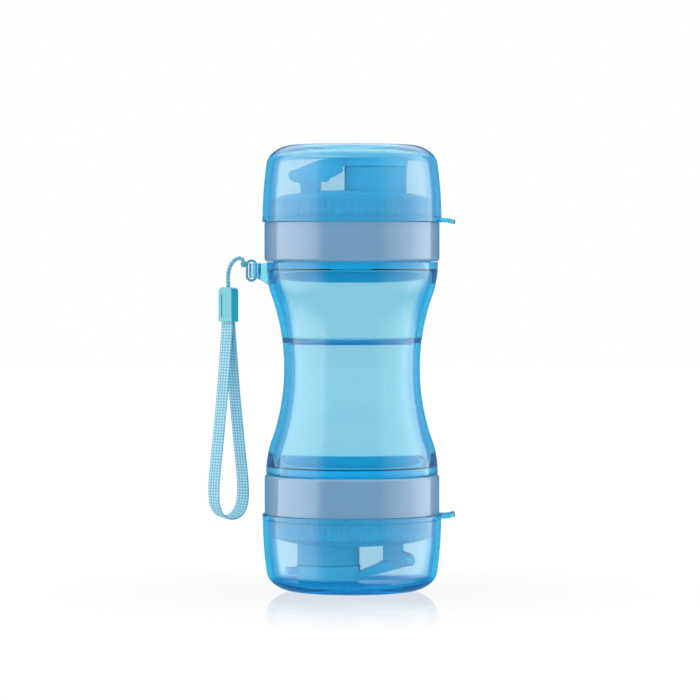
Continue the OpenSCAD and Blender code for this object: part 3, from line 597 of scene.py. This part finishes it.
# Eyelet on the upper chamber: a rounded tongue with an upright hole, flat above and sloped below
lug_reach, lug_h, lug_hole_r, lug_bar, lug_drop = 51.5, 7.4, 1.8, 2.3, 0.5
lug_half = lug_hole_r + 2.2
lug_sides, slope_start, slope_fall = 96, 3.8, 4.0
hole_x = lug_hole_r + lug_bar - lug_reach
root_x = -(end_r - body_wall + 0.4)
bearing = np.arange(lug_sides) / lug_sides * math.tau
cosine, sine = np.cos(bearing), np.sin(bearing)
tip_x = lug_half - lug_reach
back = hole_x - tip_x
to_circle = -back * cosine + np.sqrt(np.maximum(lug_half ** 2 - (back * sine) ** 2, 0))
to_side = lug_half / np.maximum(np.abs(sine), 1e-6)
to_root = np.where(cosine > 0, (root_x - hole_x) / np.maximum(cosine, 1e-6), 1e3)
past_tip = hole_x + to_circle * cosine > tip_x
edge = np.where(past_tip, np.minimum(to_side, to_root), to_circle)
top_z = half_h - lug_drop


def lug_under(x):
    """Height of the eyelet's underside: level at the tip and falling towards the body."""
    slope_x = slope_start - lug_reach
    return top_z - lug_h - slope_fall * np.clip((x - slope_x) / (root_x - slope_x), 0, 1)


bevel = 0.35
loops = []
for above in (True, False):
    order = ((0, 0.0, bevel), (0, bevel, 0.0), (1, -bevel, 0.0), (1, 0.0, bevel))
    for outer_edge, shift, sink in (order if above else order[::-1]):
        out = (edge if outer_edge else np.full(lug_sides, lug_hole_r)) + shift
        x, y = hole_x + out * cosine, out * sine
        z = top_z - sink if above else lug_under(x) + sink
        loops.append(np.stack([x, y, np.broadcast_to(z, x.shape)], 1))
lug_points = (np.array(loops) + [0, 0, waist_z]) * mm
lug = new_piece("lug", lug_points, tube_faces(len(loops), lug_sides, closed=True))
face_outwards(lug)
upper = joined(upper, lug)

lower_inner = body_curve(half_h - ring_h - ring_taper, -joint_rise, inset=body_wall, steps=60)
outer = body_curve(-joint_rise, half_h - edge_round, inset=0, steps=80)
profile, radius = chamber(outer, lower_inner, end=-1)
lower = lathe("lower_chamber_shell", radius * mm, (waist_z - profile[:, 1]) * mm, sides)
face_outwards(lower)
body_look = clear_plastic("clear_body", (0.785, 0.888, 0.955, 1), roughness=0.015)
for piece, node in ((upper, "upper_chamber"), (lower, "lower_chamber")):
    piece.data.materials.clear()
    piece.data.materials.append(body_look)
    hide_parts(node)
    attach(piece, "bottle")

# Bowls
# Clear blue bowls pressed over the lids, lip to shoulder. Each has a foot ring, a generous corner, a
# band round its lip and a thin pull tab whose tip bends towards the body.
skirt_h, bowl_r, bowl_wall, bowl_end, bowl_floor = 20.0, 44.7, 2.4, 58.5, 3.0
bowl_taper, corner_in, corner_h, foot_w, foot_recess = 2.0, 12.0, 9.0, 4.0, 0.6
lip_h, lip_proud = 2.7, 0.2
lip_round, inner_round, floor_ring_r = 0.4, 0.3, 12
# Inside of the foot ring: way out from its inner edge, and depth from its sole
foot_bevel = [(-0.8, foot_recess), (-0.15, 0.12), (0.2, 0)]
wall_start, corner_start = skirt_h + lip_h, bowl_end - corner_h


def wall_curve(z):
    """Radius of a bowl's wall, which draws in with the square of the height."""
    return bowl_r - bowl_taper * ((z - wall_start) / (corner_start - wall_start)) ** 2


def corner_profile(reach, tall, inset, steps):
    """Quarter ellipse from the wall round to the floor, on top of the wall's own taper."""
    a = np.linspace(0, math.pi / 2, steps)
    z = corner_start + tall * np.sin(a)
    return np.stack([wall_curve(z) - inset - reach * (1 - np.cos(a)), z], 1)


wall_z = np.linspace(wall_start, corner_start, 30)
outer_corner = corner_profile(corner_in, corner_h, inset=0, steps=28)
inner_corner = corner_profile(corner_in - bowl_wall, corner_h - bowl_floor, inset=bowl_wall, steps=24)
foot_r = outer_corner[-1, 0]
bowl_profile = np.concatenate([
    [[0, bowl_end - foot_recess], [floor_ring_r, bowl_end - foot_recess]],
    [[foot_r - foot_w + out, bowl_end - depth] for out, depth in foot_bevel],
    outer_corner[::-1],
    np.stack([wall_curve(wall_z), wall_z], 1)[::-1][1:],
    [[bowl_r + lip_proud - 0.05, wall_start - 0.1], [bowl_r + lip_proud, wall_start - 0.3]],
    arc(bowl_r + lip_proud - lip_round, skirt_h + lip_round, lip_round, 0, -90, steps=5),
    arc(bowl_r - bowl_wall + inner_round, skirt_h + inner_round, inner_round, -90, -180, steps=4),
    np.stack([wall_curve(wall_z) - bowl_wall, wall_z], 1),
    inner_corner[1:],
    [[floor_ring_r, bowl_end - bowl_floor], [0, bowl_end - bowl_floor]],
])

# Plan of the tab: straight sides and rounded corners; its half width shrinks over the last 4 mm
pull_reach, pull_w, pull_t, pull_bend, tab_round = 51.5, 20.0, 2.0, 0.8, 4.0
bend_start, bend_span, tab_sides = 4.2, 3.2, 48
root = bowl_r - bowl_wall / 2
station = np.concatenate([np.linspace(root, pull_reach - tab_round, 14)[:-1],
                          pull_reach - tab_round * (1 - np.sin(np.linspace(0, math.pi / 2, 14)))])
past = np.clip(station - (pull_reach - tab_round), 0, tab_round)
half_w = pull_w / 2 - tab_round + np.sqrt(tab_round ** 2 - past ** 2)
bend = -pull_bend * np.clip((station - (pull_reach - bend_start)) / bend_span, 0, 1) ** 1.5
lap = np.arange(tab_sides) / tab_sides * math.tau
squareness = 0.22
ring_y = np.sign(np.cos(lap)) * np.abs(np.cos(lap)) ** squareness
ring_z = np.sign(np.sin(lap)) * np.abs(np.sin(lap)) ** squareness
tab_x = np.broadcast_to(station[:, None], (len(station), tab_sides))
tab_y = half_w[:, None] * ring_y
tab_z = skirt_h + pull_t / 2 + bend[:, None] + pull_t / 2 * ring_z

bowl_look = clear_plastic("clear_bowl", (0.90, 0.89, 0.95, 1), roughness=0.02)
for end, out in (("top", 1), ("bottom", -1)):
    plane = high_plane if out > 0 else low_plane
    heights = (plane + out * bowl_profile[:, 1]) * mm
    bowl = lathe(f"{end}_bowl_shell", bowl_profile[:, 0] * mm, heights, sides)
    face_outwards(bowl)
    tab_points = np.stack([tab_x, tab_y, plane + out * tab_z], -1) * mm
    tab = new_piece("tab", tab_points, tube_faces(len(station), tab_sides))
    face_outwards(tab)
    bowl = joined(bowl, tab)
    bowl.data.materials.clear()
    bowl.data.materials.append(bowl_look)
    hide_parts(f"{end}_bowl")
    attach(bowl, f"{end}_bowl")

# Lids, caps, slider, gaskets and plugs
# All are moulded and a little uneven in their gloss, and the gaskets and plugs are duller silicone. Lids
# and caps are milky, so some of the light on them comes through. A lid's smooth skirt is polished, and
# inside the bore the lid has a painted blue that stands in for light through the ring round it.
flow_marks = 0.04
coat_index, coat_roughness = 1.9, 0.05


def moulded(name, colour, roughness, milky=0.0, glow=(0, 0, 0), painted_ring_light=None, index=1.4):
    """Moulded plastic: a steady colour with faint flow marks, an uneven gloss and some light through.

    The gloss and the bump follow fine noise. Given a colour of painted light through the ring, the skin is
    also mirror bright as far from the waist as the lid's skirt reaches, and has that painted colour inside
    the bore there.
    """
    material, tree, out = new_material(name)
    place = add_node(tree, "ShaderNodeTexCoord").outputs["Object"]
    flow = add_node(tree, "ShaderNodeTexNoise", Vector=place, Scale=60.0, Detail=2.0)
    hue = colour_mix(tree, flow.outputs[0], tuple(c * (1 - flow_marks) for c in colour) + (1,),
                     tuple(min(1, c * (1 + flow_marks)) for c in colour) + (1,))
    grain = add_node(tree, "ShaderNodeTexNoise", Vector=place, Scale=900.0, Detail=2.0)
    rough = add_node(tree, "ShaderNodeMapRange", Value=grain.outputs[0],
                     To_Min=roughness * 0.8, To_Max=roughness * 1.2)
    bump = add_node(tree, "ShaderNodeBump", Strength=0.12, Distance=0.0001, Height=grain.outputs[0])
    skin = add_node(tree, "ShaderNodeBsdfPrincipled", Base_Color=hue, Roughness=rough.outputs[0],
                    IOR=index, Coat_IOR=coat_index, Coat_Roughness=coat_roughness, Normal=bump.outputs[0])
    through = add_node(tree, "ShaderNodeBsdfTranslucent", Color=(*glow, 1))
    # Painted light: inside the bore the lid gets the blue of light coming through the ring round it
    if painted_ring_light:
        axes = add_node(tree, "ShaderNodeSeparateXYZ", Vector=place).outputs
        rise = maths(tree, "ABSOLUTE", maths(tree, "SUBTRACT", axes["Z"], waist_z * mm))
        bright = maths(tree, "LESS_THAN", rise, (half_h + skirt_h) * mm)
        tree.links.new(bright, skin.inputs["Coat Weight"])
        radius = maths(tree, "SQRT", maths(tree, "MULTIPLY_ADD", axes["X"], axes["X"],
                                           maths(tree, "MULTIPLY", axes["Y"], axes["Y"])))
        painted_ring_light_mask = maths(tree, "MULTIPLY", maths(tree, "LESS_THAN", radius, (bore_r - 0.1) * mm), bright)
        for plain, socket in ((hue, skin.inputs["Base Color"]), ((*glow, 1), through.inputs["Color"])):
            tree.links.new(colour_mix(tree, painted_ring_light_mask, plain, (*painted_ring_light, 1)), socket)
    both = add_node(tree, "ShaderNodeMixShader", Fac=milky, _1=skin.outputs[0], _2=through.outputs[0])
    tree.links.new(both.outputs[0], out.inputs["Surface"])
    return material


def finish_node(node, look):
    """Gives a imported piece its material."""
    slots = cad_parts[node].data.materials
    slots.clear()
    slots.append(look)


# The lid's painted blue inside the bore stands in for light through the ring
lid_look = moulded("lid_plastic", (0.34, 0.54, 0.76), roughness=0.25, milky=0.45,
                   glow=(0.40, 0.66, 0.80), painted_ring_light=(0.0, 0.76, 0.95))
cap_look = moulded("flip_cap_plastic", (0.37, 0.62, 0.84), roughness=0.25, milky=0.45,
                   glow=(0.46, 0.72, 0.84))
slider_look = moulded("slider_plastic", (0.012, 0.44, 0.54), roughness=0.12, index=1.7)
rubber = moulded("silicone", (0.60, 0.70, 0.76), roughness=0.45)
for end in ("top", "bottom"):
    finish_node(f"{end}_screw_lid", lid_look)
    finish_node(f"{end}_flip_cap", cap_look)
    finish_node(f"{end}_lid_gasket", rubber)
    finish_node(f"{end}_flip_plug", rubber)
for half in ("front", "back"):
    finish_node(f"strap_slider_{half}", slider_look)

# Hinge pins and hitch
# The pins are short and moulded, 3 mm thick, in a darker blue than the caps and not milky. The hitch is
# the thin loop through the eyelet with its knot, and has the same skin in a blue near the cord's.
pin_look = moulded("pin_plastic", (0.22, 0.42, 0.60), roughness=0.2)
for end in ("top", "bottom"):
    finish_node(f"{end}_flip_pin", pin_look)
finish_node("strap_hitch", moulded("hitch_cord", (0.09, 0.42, 0.55), roughness=0.4))

# Picture
# Enough bounces for light to pass both walls of body and bowls, in and out again.
scene = bpy.context.scene
scene.view_settings.view_transform = "Standard"
scene.cycles.max_bounces = 32
scene.cycles.transmission_bounces = 32
scene.cycles.glossy_bounces = 16
scene.cycles.transparent_max_bounces = 16
